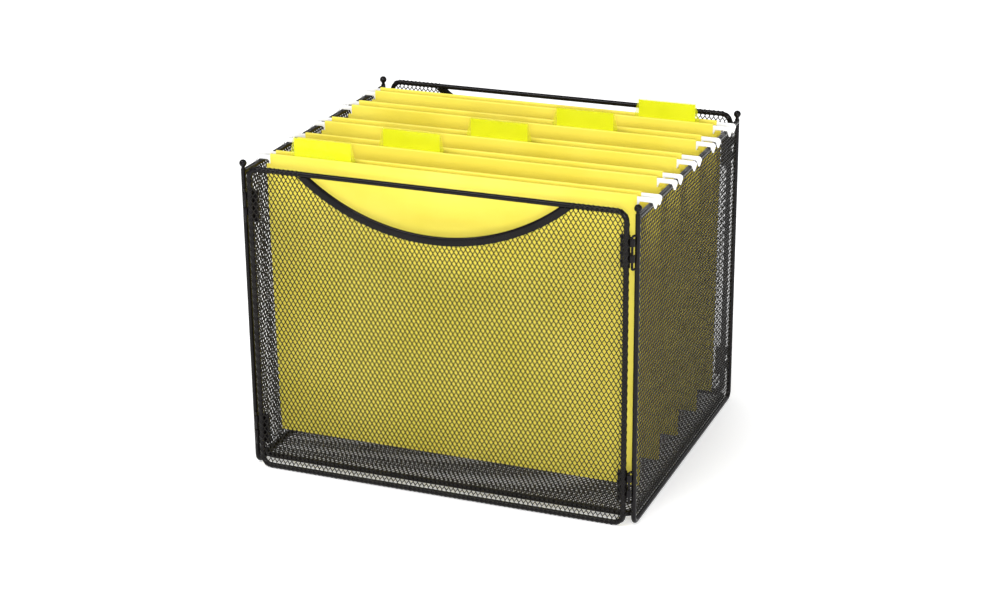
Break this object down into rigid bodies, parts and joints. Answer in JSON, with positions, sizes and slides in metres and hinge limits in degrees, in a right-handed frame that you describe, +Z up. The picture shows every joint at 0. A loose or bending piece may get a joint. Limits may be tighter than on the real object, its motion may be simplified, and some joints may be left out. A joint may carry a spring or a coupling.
{
  "type": "hanging file rack",
  "caption": "Collapsible desktop rack of black wire and expanded mesh with hinged front and back panels, arched handle openings, side rails and tabbed hanging folders.",
  "frame": {"origin": "centre of the footprint on the surface the rack stands on, under the middle of the bounding box", "axes": "+X to the right along the folders, +Y from the front panel to the back panel, +Z up"},
  "size_m": [0.3232, 0.2664, 0.2624],
  "materials": {
    "black_coat": "semi-gloss black powder coat",
    "black_mesh": "semi-gloss black powder coat on expanded metal",
    "yellow_card": "matte dyed card",
    "white_coated_rod": "white coated steel strip",
    "neon_tab": "tinted translucent plastic with a paper insert"
  },
  "bodies": {
    "rack": {"left_side_frame": "black_coat", "left_top_rail": "black_coat", "left_side_mesh": "black_mesh", "front_left_ball": "black_coat", "back_left_ball": "black_coat", "right_side_frame": "black_coat", "right_top_rail": "black_coat", "right_side_mesh": "black_mesh", "front_right_ball": "black_coat", "back_right_ball": "black_coat", "floor_frame": "black_coat", "floor_mesh": "black_mesh", "front_left_lower_hinge_pin": "black_coat", "front_left_upper_hinge_pin": "black_coat", "front_right_lower_hinge_pin": "black_coat", "front_right_upper_hinge_pin": "black_coat", "back_left_lower_hinge_pin": "black_coat", "back_left_upper_hinge_pin": "black_coat", "back_right_lower_hinge_pin": "black_coat", "back_right_upper_hinge_pin": "black_coat"},
    "front_panel": {"front_panel_frame": "black_coat", "front_panel_mesh": "black_mesh", "front_handle_trim": "black_coat", "front_left_lower_hinge_leaf": "black_coat", "front_left_upper_hinge_leaf": "black_coat", "front_right_lower_hinge_leaf": "black_coat", "front_right_upper_hinge_leaf": "black_coat"},
    "back_panel": {"back_panel_frame": "black_coat", "back_panel_mesh": "black_mesh", "back_handle_trim": "black_coat", "back_left_lower_hinge_leaf": "black_coat", "back_left_upper_hinge_leaf": "black_coat", "back_right_lower_hinge_leaf": "black_coat", "back_right_upper_hinge_leaf": "black_coat"},
    "folder_1": {"folder_1_jacket": "yellow_card", "folder_1_front_rod": "white_coated_rod", "folder_1_back_rod": "white_coated_rod", "folder_1_tab": "neon_tab"},
    "folder_2": {"folder_2_jacket": "yellow_card", "folder_2_front_rod": "white_coated_rod", "folder_2_back_rod": "white_coated_rod", "folder_2_tab": "neon_tab"},
    "folder_3": {"folder_3_jacket": "yellow_card", "folder_3_front_rod": "white_coated_rod", "folder_3_back_rod": "white_coated_rod", "folder_3_tab": "neon_tab"},
    "folder_4": {"folder_4_jacket": "yellow_card", "folder_4_front_rod": "white_coated_rod", "folder_4_back_rod": "white_coated_rod", "folder_4_tab": "neon_tab"},
    "folder_5": {"folder_5_jacket": "yellow_card", "folder_5_front_rod": "white_coated_rod", "folder_5_back_rod": "white_coated_rod", "folder_5_tab": "neon_tab"}
  },
  "joints": [
    {"name": "front_panel_swing", "type": "hinge", "parent": "rack", "child": "front_panel", "pos_m": [0.153, -0.1312, 0.1312], "axis": [0, 0, 1], "range_deg": [0, 90]},
    {"name": "back_panel_swing", "type": "hinge", "parent": "rack", "child": "back_panel", "pos_m": [-0.153, 0.1312, 0.1312], "axis": [0, 0, 1], "range_deg": [0, 90]},
    {"name": "folder_1_lift", "type": "slide", "parent": "rack", "child": "folder_1", "axis": [0, 0, 1], "range_m": [0, 0.25]},
    {"name": "folder_2_lift", "type": "slide", "parent": "rack", "child": "folder_2", "axis": [0, 0, 1], "range_m": [0, 0.25]},
    {"name": "folder_3_lift", "type": "slide", "parent": "rack", "child": "folder_3", "axis": [0, 0, 1], "range_m": [0, 0.25]},
    {"name": "folder_4_lift", "type": "slide", "parent": "rack", "child": "folder_4", "axis": [0, 0, 1], "range_m": [0, 0.25]},
    {"name": "folder_5_lift", "type": "slide", "parent": "rack", "child": "folder_5", "axis": [0, 0, 1], "range_m": [0, 0.25]}
  ]
}
